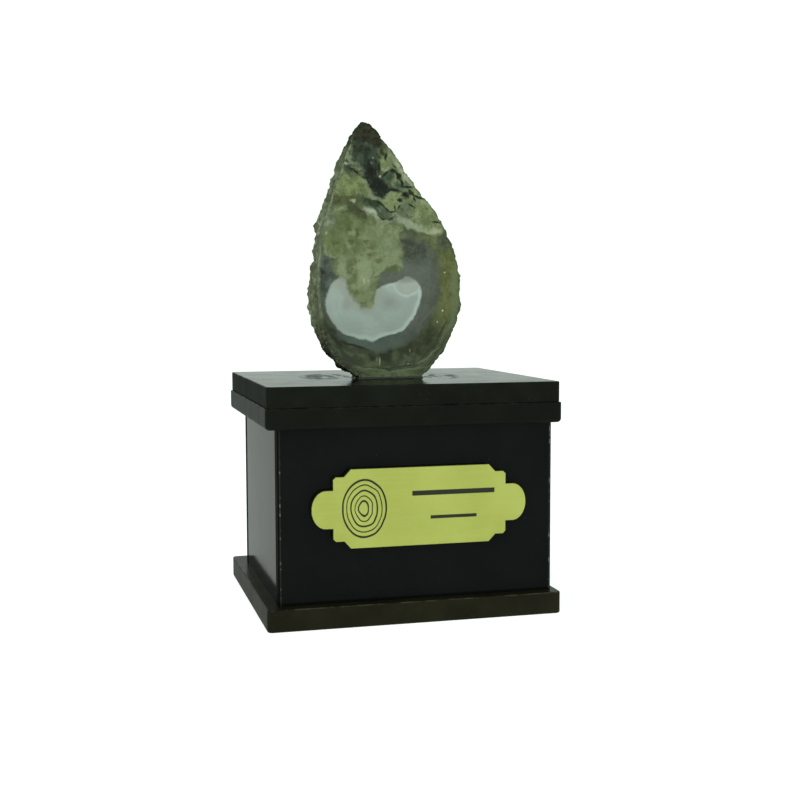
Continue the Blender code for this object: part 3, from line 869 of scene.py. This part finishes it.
# The moss zone: green moss quartz, clouded and fibrous, that bites a wedge out of the pale zone.
fibres = cloud(tree, calm, 0.7, 4.0, 0.7, (1.0, 1.0, 0.35))
moss_coats = [mottled((88, 101, 66), (120, 135, 99), cloud(tree, still, 1.7, 4.0, 0.65))]
paint(between(tree, fibres, 0.55, 0.75, 0.0, 0.5), shade(134, 149, 116), moss_coats)
paint(between(tree, fibres, 0.46, 0.28, 0.0, 0.6), shade(76, 89, 54), moss_coats)
dab(
    rough, 0.5,
    ((-6.0, 21.5), (1.4, 3.6), 0, (133, 148, 113), 0.75),
    ((-10.6, 21.6), (0.8, 2.2), -12, (124, 140, 108), 0.8),
    ((-1.6, 23.4), (3.4, 0.9), -30, (124, 139, 104), 0.7), ((-0.6, 26.5), (2.2, 2.2), 0, (116, 131, 98), 0.6),
    ((-3.4, 20.6), (2.6, 0.6), -42, (122, 138, 104), 0.7), ((-4.0, 28.5), (2.4, 2.0), 0, (108, 123, 87), 0.6),
    ((-11.2, 27.2), (1.7, 2.6), 0, (90, 104, 66), 0.7), ((-7.4, 31.0), (2.6, 1.4), 0, (90, 103, 64), 0.6),
    ((-10.5, 31.2), (1.8, 1.8), 0, (78, 90, 53), 0.7), ((-6.6, 26.0), (1.0, 1.3), 0, (86, 100, 62), 0.6),
    ((-8.8, 24.0), (0.9, 1.6), 10, (90, 104, 68), 0.5), ((-12.6, 29.6), (0.8, 0.9), 0, (76, 88, 50), 0.8),
    ((-11.6, 27.0), (0.7, 0.4), 30, (72, 84, 50), 0.7), ((-8.6, 27.2), (0.6, 0.5), 0, (66, 78, 46), 0.8),
    ((-7.2, 29.2), (0.5, 0.8), 0, (70, 82, 48), 0.8), ((-9.4, 29.8), (0.6, 0.5), 0, (66, 76, 44), 0.7),
    ((-5.6, 27.3), (0.5, 0.4), 0, (74, 88, 52), 0.8), ((-6.2, 32.0), (0.6, 0.8), 0, (72, 82, 50), 0.7),
    ((-9.6, 18.6), (0.4, 1.6), 10, (92, 108, 78), 0.8), ((-3.8, 18.4), (0.9, 1.6), -30, (98, 113, 76), 0.7),
    ((-4.7, 24.6), (0.5, 0.3), -20, (76, 90, 54), 0.8), ((-3.0, 23.4), (0.8, 0.25), -30, (84, 98, 62), 0.8),
    ((-6.1, 15.9), (1.6, 1.1), -20, (112, 128, 92), 0.9),
    ((-6.8, 15.1), (1.2, 0.35), -28, (90, 106, 66), 0.8),
    ((-5.8, 17.8), (0.7, 1.0), -30, (112, 128, 92), 0.7), ((-0.6, 21.6), (2.4, 0.55), -26, (76, 92, 60), 0.9),
    ((-3.2, 20.5), (0.9, 0.3), -20, (82, 98, 64), 0.8), ((-13.4, 28.6), (0.7, 2.0), 0, (98, 110, 70), 0.9),
    ((-5.7, 19.9), (0.12, 0.8), 0, (164, 175, 148), 0.8),
    ((-5.1, 19.6), (0.10, 0.5), 0, (156, 168, 138), 0.7),
    coats=moss_coats,
)
paint(between(tree, moss, 0.6, -0.6), moss_coats[-1])

# The upper zones: brown and olive bands over the moss, yellow-green on the left, beige-green cells right.
cloudy_dab(
    rough,
    ((-12.8, 32.0), (1.3, 2.2), 0, 0.5, (86, 97, 68), (112, 124, 98)),
    ((-7.0, 33.4), (2.6, 1.2), 14, 0.5, (50, 59, 35), (70, 78, 50)),
)
upper_left = oval(tree, rough, (-9.0, 43.0), (2.8, 3.6), -20, 0.4)
paint(upper_left, mottled((56, 68, 45), (108, 121, 95), medium, 0.42, 0.6))
paint(between(tree, yellow, 0.6, -0.6), mottled((92, 106, 68), (120, 133, 88)))
cloudy_dab(rough, ((-10.0, 35.5), (3.6, 1.1), 6, 0.5, (60, 69, 39), (80, 89, 55)))
paint(between(tree, beige, 0.7, -0.6), mottled((100, 113, 76), (128, 142, 102)))
cloudy_dab(calm, ((1.2, 42.6), (0.7, 3.4), -34, 0.5, (124, 137, 100), (152, 163, 140)))
paint(oval(tree, calm, (3.4, 40.0), (0.6, 1.8), -38, 0.5), shade(140, 152, 124))
cloudy_dab(
    rough,
    ((7.4, 31.6), (2.4, 1.1), -14, 0.5, (92, 105, 70), (114, 128, 90)),
    ((2.6, 33.9), (1.3, 1.5), 20, 0.4, (72, 85, 60), (94, 108, 82)),
    ((-5.2, 44.4), (2.4, 2.4), 0, 0.4, (34, 44, 34), (58, 71, 56)),
    ((-6.8, 46.6), (1.9, 1.8), 0, 0.4, (26, 33, 23), (50, 60, 43)),
)
paint(between(tree, core_gap, 0.45, -0.4), mottled((22, 28, 22), (46, 56, 45)))
paint(between(tree, tip_gap, 0.5, -0.6), mottled((28, 30, 20), (52, 52, 34), fine))
cloudy_dab(
    rough,
    ((-4.4, 35.2), (2.2, 0.9), 24, 0.4, (38, 50, 33), (58, 72, 52)),
    ((-1.6, 33.2), (1.6, 1.0), 10, 0.4, (60, 76, 56), (88, 102, 80)),
    ((-0.8, 35.3), (1.6, 1.5), 0, 0.3, (112, 128, 86), (130, 146, 106)),
    ((-0.8, 40.1), (1.0, 1.0), 0, 0.5, (52, 67, 50), (82, 98, 80)),
    ((1.4, 38.6), (1.3, 0.7), 20, 0.5, (56, 71, 54), (86, 102, 82)),
    ((-1.6, 43.6), (1.2, 1.7), -10, 0.5, (96, 112, 72), (128, 143, 102)),
)
dab(
    rough, 0.6,
    ((-11.4, 38.6), (1.2, 1.2), 0, (120, 132, 86), 0.5), ((-6.4, 37.2), (1.4, 0.7), 30, (88, 102, 66), 0.7),
    ((-7.6, 40.2), (1.4, 0.6), 0, (84, 96, 60), 0.7), ((-10.8, 41.0), (0.9, 1.0), 0, (98, 110, 84), 0.6),
    ((-12.2, 36.4), (0.5, 0.5), 0, (62, 72, 42), 0.8), ((-9.0, 34.2), (1.2, 0.5), 10, (58, 68, 42), 0.7),
    ((4.6, 35.0), (1.0, 0.8), 0, (92, 106, 72), 0.6), ((6.2, 33.2), (0.8, 0.6), 0, (100, 113, 76), 0.6),
    ((3.6, 32.6), (0.9, 0.5), 30, (112, 127, 98), 0.7), ((-1.0, 47.0), (1.0, 0.8), 0, (96, 108, 76), 0.7),
    ((0.2, 44.6), (0.6, 0.9), -30, (96, 110, 72), 0.6), ((-4.6, 42.6), (0.35, 0.3), 0, (84, 98, 84), 0.8),
    ((-5.6, 46.6), (0.5, 0.35), 0, (66, 80, 62), 0.8), ((-8.0, 44.6), (0.5, 0.7), 0, (44, 54, 36), 0.8),
)

# Black threads and knots between the cells, and the white bands and streaks.
dab(
    rough, 0.5,
    ((-4.6, 41.4), (1.3, 0.8), 10, (18, 23, 18), 1), ((-3.3, 38.8), (1.5, 0.8), 48, (20, 26, 20), 1),
    ((-2.6, 37.3), (1.0, 0.8), 0, (24, 30, 24), 0.9), ((-5.2, 45.4), (0.8, 0.5), 0, (26, 32, 24), 0.8),
    ((-0.1, 41.3), (0.9, 0.5), 10, (18, 24, 18), 1), ((1.1, 40.3), (0.9, 0.45), 48, (20, 26, 20), 1),
    ((2.4, 36.9), (0.9, 0.75), 20, (16, 22, 16), 1), ((1.4, 35.8), (0.9, 0.4), 10, (20, 27, 20), 1),
    ((3.6, 37.4), (0.9, 0.35), 42, (22, 29, 21), 1), ((-8.7, 41.7), (0.7, 0.4), 30, (34, 42, 28), 1),
    ((-9.7, 43.4), (0.6, 0.35), 20, (38, 46, 32), 1), ((-8.1, 46.1), (0.4, 0.5), 0, (30, 37, 26), 1),
    ((-6.6, 46.3), (0.5, 0.35), 0, (28, 34, 26), 1), ((-2.4, 45.2), (0.4, 0.6), 0, (34, 42, 28), 0.9),
)
for middle, half_sizes, turn in (
    ((-1.6, 40.8), (0.9, 0.32), -45), ((1.8, 39.1), (0.8, 0.32), 65), ((3.1, 38.4), (1.2, 0.28), 2),
    ((-1.3, 37.4), (1.0, 0.36), -22), ((0.4, 37.6), (1.4, 0.32), 4), ((5.0, 36.5), (1.6, 0.22), 16),
    ((-2.6, 34.9), (1.0, 0.24), 40), ((-1.3, 33.8), (0.9, 0.2), 28), ((-0.1, 33.4), (0.7, 0.2), -6),
    ((0.4, 34.0), (0.16, 0.6), 0), ((-3.2, 32.6), (0.9, 0.15), 26), ((-1.6, 32.0), (0.9, 0.15), 10),
    ((-0.2, 32.2), (0.7, 0.14), -24), ((3.8, 34.6), (0.8, 0.2), 38), ((9.0, 31.4), (1.0, 0.18), 4),
    ((-7.6, 40.9), (0.7, 0.22), 30), ((-1.4, 44.3), (0.24, 0.8), 10), ((-2.9, 41.9), (0.3, 1.3), 0),
    ((-12.9, 38.6), (0.3, 0.5), 0), ((4.4, 36.0), (0.2, 0.6), -20), ((1.2, 34.2), (0.5, 0.14), -50),
):
    paint(oval(tree, calm, middle, half_sizes, turn, 0.6), shade(24, 31, 24))
dab(
    rough, 0.6,
    ((1.4, 32.0), (1.6, 0.9), 38, (130, 145, 118), 0.9), ((3.8, 30.7), (2.0, 0.8), 24, (134, 149, 120), 0.9),
    ((6.8, 29.8), (2.2, 0.5), 4, (136, 150, 120), 0.9), ((9.0, 29.8), (1.2, 0.5), -4, (146, 159, 128), 0.9),
    ((-4.7, 33.3), (1.4, 0.6), 44, (150, 165, 142), 1), ((-3.6, 32.1), (0.9, 0.3), 34, (134, 148, 122), 0.8),
    ((-5.6, 38.6), (2.0, 0.3), 44, (122, 136, 98), 0.8), ((-3.8, 36.5), (1.3, 0.4), 40, (126, 140, 112), 0.8),
    ((-1.2, 31.6), (2.0, 0.26), -2, (120, 136, 106), 0.7),
    ((-8.1, 35.4), (0.5, 0.4), 0, (144, 156, 128), 0.9),
    ((-10.1, 42.7), (0.6, 0.28), 10, (150, 162, 140), 0.9),
    ((-13.3, 31.0), (0.7, 0.6), 0, (134, 146, 118), 0.7),
)
dab(
    still, 0.45,
    ((-13.7, 29.0), (0.25, 0.3), 0, (140, 152, 120), 1), ((-2.7, 40.3), (0.2, 0.2), 0, (150, 164, 146), 1),
    ((-2.9, 3.5), (0.16, 0.75), 0, (122, 136, 106), 1), ((-3.5, 3.8), (0.10, 0.5), 0, (96, 108, 80), 1),
    ((10.75, 21.3), (0.22, 0.18), 0, (150, 160, 110), 1), ((10.3, 13.6), (0.16, 0.2), 0, (190, 200, 176), 1),
    ((9.2, 11.3), (0.15, 0.2), 0, (160, 170, 140), 1), ((3.4, 5.6), (0.13, 0.35), 0, (108, 120, 84), 1),
    ((3.0, 2.9), (0.16, 0.14), 0, (120, 134, 100), 1), ((-4.1, 43.9), (0.12, 0.16), 0, (120, 134, 120), 1),
)

# The edge of the cut: a pale line of skin down the left side, painted brown and black towards the foot.
left_side = oval(tree, still, (-16.0, 29.0), (9.5, 20.0), 16, 0.12)
pale_skin = mottled((88, 101, 74), (126, 140, 114))
paint(times(tree, between(tree, rim, -1.1, -0.5, 0.0, 0.85), left_side), pale_skin)
# Towards the foot at the lower left, the edge of the face is painted brown and black.
lower_left = oval(tree, still, (-13.2, 4.8), (8.4, 3.4), 46, 0.2)
lower_left_dark_edge = mottled((38, 39, 27), (82, 90, 66), fine, 0.45, 0.62)
paint(times(tree, between(tree, rim, -1.5, -0.6, 0.0, 0.85), lower_left), lower_left_dark_edge)
edge_stain = times(tree, between(tree, rim, -0.6, -0.1, 0.0, 0.6), between(tree, medium, 0.4, 0.6))
paint(edge_stain, shade(50, 56, 38))
speckle = between(tree, cloud(tree, still, 0.8, 4.0, 0.7), 0.47, 0.36, 0.0, 0.5)
clouded = between(tree, height, 29.0, 33.0)
paint(times(tree, speckle, clouded), shade(48, 58, 38))
grain_and_painted_light = between(tree, fine, 0.3, 0.7, 0.90, 1.09)
grain_and_painted_light = add_node(tree, "Mix", {0: pale_share, 2: grain_and_painted_light, 3: 1.0}).outputs[0]
# Painted light: the lowest 7 mm of the face is made up to 1.45 times lighter towards the foot, where the
# black cap leaves it darker.
grain_and_painted_light = times(tree, grain_and_painted_light, between(tree, height, 7.0, 2.5, 1.0, 1.45))
shares = [times(tree, grain_and_painted_light, share) for share in (0.97, 0.91, 0.94)]
grain_and_light_colour = add_node(tree, "CombineXYZ", dict(enumerate(shares))).outputs[0]
face_colour = add_node(
    tree, "Mix", {0: 1.0, 6: face_coats[-1], 7: grain_and_light_colour}, data_type="RGBA", blend_type="MULTIPLY"
).outputs[2]

# The rind: a grey-green crust with brown stains, dark hollows and pale patches, near black at the foot.
rind_coats = [mottled((80, 86, 64), (118, 127, 100), cloud(tree, still, 2.4, 5.0, 0.62))]
hollow_stain = between(tree, cloud(tree, still, 5.5, 3.0, 0.55), 0.46, 0.36, 0.0, 0.75)
paint(hollow_stain, mottled((42, 46, 33), (70, 75, 54), medium), rind_coats)
brown_stain = between(tree, cloud(tree, calm, 8.0, 4.0, 0.6), 0.50, 0.60, 0.0, 0.85)
brown_stain = times(tree, brown_stain, between(tree, depth, -5.0, 0.0))
paint(brown_stain, mottled((74, 66, 44), (110, 102, 74), medium), rind_coats)
pale_crust = between(tree, cloud(tree, rough, 4.5, 4.0, 0.6), 0.55, 0.63)
paint(pale_crust, mottled((122, 132, 110), (156, 164, 142), fine), rind_coats)
paint(between(tree, fine, 0.44, 0.30, 0.0, 0.7), shade(40, 42, 30), rind_coats)
# The rind is painted near black towards the foot at the lower left.
foot_dark = oval(tree, still, (-11.0, 1.0), (10.0, 8.5), 30, 0.35)
foot_dark_tone = mottled((22, 22, 15), (78, 82, 60), fine, 0.46, 0.62)
paint(times(tree, foot_dark, 0.9), foot_dark_tone, rind_coats)
tip_crust = mottled((34, 35, 25), (62, 63, 46), fine)
paint(between(tree, height, 44.5, 47.0), tip_crust, rind_coats)
on_rind = between(tree, depth, FACE_Y / MM + 0.02, FACE_Y / MM + 0.12)
colour = lay_over(tree, on_rind, face_colour, rind_coats[-1])
polish = between(tree, medium, 0.3, 0.7, 0.16, 0.24)
dull = between(tree, fine, 0.3, 0.7, 0.65, 0.9)
rough_share = add_node(tree, "Mix", {0: on_rind, 2: polish, 3: dull}).outputs[0]
relief_height = times(tree, plus(tree, fine, medium), on_rind)
grit = bump(tree, relief_height, 0.22, bump(tree, medium, 0.006))
fill(tree, shader, {"Base Color": colour, "Roughness": rough_share})
fill(tree, shader, {"Normal": grit, "Specular IOR Level": 0.10})
put_on(stone, agate, "agate")


# The bead of glue: clear resin that was pressed out round the stone's foot when it was set on the cap.
# It fills the hair's breadth between the two and stands out a little all round.
BEAD_HEIGHT = 0.32 * MM
BEAD_SPREAD = (1.04, 1.07, 1.0)
BEAD_NARROWING = (0.97, 0.95, 1.0)
glue = bring_in("foot_glue", stone.data.copy())
bpy.ops.object.mode_set(mode="EDIT")
bpy.ops.mesh.select_mode(type="FACE")
bpy.ops.mesh.select_all(action="DESELECT")
shape = bmesh.from_edit_mesh(glue.data)
for face in shape.faces:
    face.select_set(not (face.normal.z < -0.999 and close(face.calc_center_median().z, FOOT_Z)))
bmesh.update_edit_mesh(glue.data)
bpy.ops.mesh.delete(type="FACE")
bpy.ops.mesh.select_all(action="SELECT")
shape = bmesh.from_edit_mesh(glue.data)
foot_middle = sum((corner.co for corner in shape.verts), Vector()) / len(shape.verts)
bpy.ops.transform.translate(value=(0, 0, CAP_TOP - FOOT_Z))
bpy.ops.transform.resize(value=BEAD_SPREAD, center_override=foot_middle)
bpy.ops.mesh.extrude_region_move(TRANSFORM_OT_translate={"value": (0, 0, BEAD_HEIGHT)})
bpy.ops.transform.resize(value=BEAD_NARROWING, center_override=foot_middle)
bpy.ops.mesh.select_all(action="SELECT")
bpy.ops.mesh.normals_make_consistent(inside=False)
bpy.ops.object.mode_set(mode="OBJECT")
bpy.ops.object.shade_smooth_by_angle(angle=math.radians(60))
clear_glue, tree, shader = new_finish("clear resin glue")
place = millimetres(tree)
milky = between(tree, cloud(tree, place, 1.2, 3.0), 0.35, 0.7)
colour = lay_over(tree, milky, shade(196, 206, 190), shade(222, 230, 214))
ripples = bump(tree, cloud(tree, place, 0.8, 2.0), 0.05)
fill(tree, shader, {"Base Color": colour, "Normal": ripples, "Roughness": 0.12})
fill(tree, shader, {"IOR": 1.47, "Transmission Weight": 0.95})
glue.data.materials.clear()
glue.data.materials.append(clear_glue)
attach(glue, "root")


# The table and the light: a plain pale table top, a bright low wall all round under a dimmer ceiling, and
# two large soft boxes, the stronger one above on the left.
bpy.ops.object.select_all(action="DESELECT")
bpy.ops.mesh.primitive_plane_add(size=6.0)
table_top = bpy.context.object
table_top.name = "table_top"
table_white, tree, shader = new_finish("white table top")
place = millimetres(tree)
shade_drift = between(tree, cloud(tree, place, 60.0, 2.0), 0.3, 0.7)
colour = lay_over(tree, shade_drift, shade(244, 245, 243), shade(248, 249, 247))
fill(tree, shader, {"Base Color": colour, "Roughness": 0.9, "Specular IOR Level": 0.0})
fill(tree, shader, {"Emission Color": (0.97, 1.06, 1.0, 1.0), "Emission Strength": 0.65})
table_top.data.materials.append(table_white)

studio = bpy.data.worlds.new("studio")
bpy.context.scene.world = studio
studio.use_nodes = True
tree = studio.node_tree
toward = add_node(tree, "TexCoord").outputs["Generated"]
height = add_node(tree, "SeparateXYZ", {0: toward}).outputs[2]
WALL_LIGHT = (1.005, 1.15, 1.05, 1.0)
CEILING_LIGHT = (0.34, 0.37, 0.35, 1.0)
room = lay_over(tree, between(tree, height, 0.36, 0.46), WALL_LIGHT, CEILING_LIGHT)
fill(tree, tree.nodes["Background"], {"Color": room})


def soft_box(name, spot, aim, size, power, tint):
    """A square soft box hung at a spot and aimed at a point of the object."""
    light = bpy.data.lights.new(name, "AREA")
    light.shape = "SQUARE"
    light.size = size
    light.energy = power
    light.color = tint
    box = bpy.data.objects.new(name, light)
    bpy.context.scene.collection.objects.link(box)
    box.location = spot
    box.rotation_euler = (Vector(aim) - Vector(spot)).to_track_quat("-Z", "Y").to_euler()


STONE_FOOT = (0, 0, 0.05)
soft_box("key_soft_box", (-0.30, -0.42, 0.48), STONE_FOOT, size=0.35, power=1.12, tint=(1.0, 0.94, 0.97))
soft_box("fill_soft_box", (0.45, -0.25, 0.30), STONE_FOOT, size=0.40, power=0.45, tint=(1.0, 0.98, 1.0))
